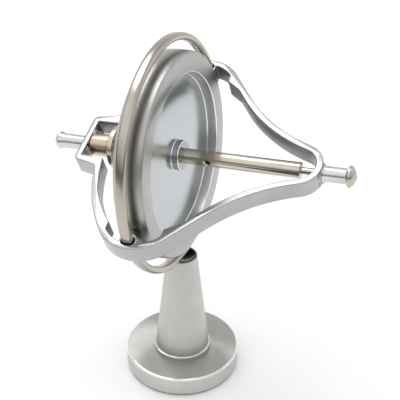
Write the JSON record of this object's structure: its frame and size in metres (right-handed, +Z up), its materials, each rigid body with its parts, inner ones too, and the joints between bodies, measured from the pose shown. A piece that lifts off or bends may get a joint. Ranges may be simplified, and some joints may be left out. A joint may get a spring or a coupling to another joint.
{
  "type": "gyroscope on stand",
  "caption": "Spinning rotor in a cast drop-shaped frame with a round guard ring, balanced upright in the cup of a tapered metal stand.",
  "frame": {"origin": "centre of the stand's underside, where its pad meets the table", "axes": "+Z up along the stand's column; +X the way the rotor's spin axis points, seen from above, towards the frame's nose"},
  "size_m": [0.0873, 0.0664, 0.1056],
  "materials": {
    "stand_metal": "fine turned satin",
    "fastener_steel": "plain plated",
    "pad_rubber": "matt",
    "cup_steel": "polished, dark reflections",
    "ring_steel": "polished, slightly warm",
    "cast_chrome": "satin plated die casting",
    "pin_chrome": "bright turned",
    "head_steel": "bright turned, slightly warm",
    "bush_brass": "plain turned",
    "pivot_steel": "ground",
    "rotor_steel": "fine turned",
    "disc_mirror": "mirror polished",
    "hub_steel": "bright turned",
    "axle_steel": "polished, slightly warm"
  },
  "bodies": {
    "stand": {"stand_base": "stand_metal", "stand_column": "stand_metal", "column_screw": "fastener_steel", "screw_washer": "fastener_steel", "base_pad": "pad_rubber"},
    "cup": {"cup_insert": "cup_steel"},
    "ring": {"guard_ring": "ring_steel"},
    "frame": {"frame": "cast_chrome", "ball_end_pin": "pin_chrome", "flange_end_pin": "head_steel", "left_bush": "bush_brass", "right_bush": "bush_brass", "left_thrust_ball": "pivot_steel", "right_thrust_ball": "pivot_steel"},
    "rotor": {"rotor_rim": "rotor_steel", "rotor_disc": "disc_mirror", "hub_bush": "hub_steel", "axle": "axle_steel", "sleeve": "axle_steel", "sleeve_flange": "hub_steel", "left_pivot_pin": "pivot_steel", "right_pivot_pin": "pivot_steel"}
  },
  "joints": [
    {"name": "precession", "type": "hinge", "parent": "stand", "child": "cup", "pos_m": [0, 0, 0.0397], "axis": [0, 0, 1], "continuous": true},
    {"name": "tilt", "type": "hinge", "parent": "cup", "child": "ring", "pos_m": [0, 0, 0.04081], "axis": [0, 1, 0], "range_deg": [-15, 15]},
    {"name": "roll", "type": "hinge", "parent": "ring", "child": "frame", "pos_m": [-0.00251, 0, 0.07266], "axis": [0.9969, 0, 0.0785], "range_deg": [-92, 50]},
    {"name": "rotor_spin", "type": "hinge", "parent": "frame", "child": "rotor", "pos_m": [-0.00251, 0, 0.07266], "axis": [0.9969, 0, 0.0785], "continuous": true}
  ]
}
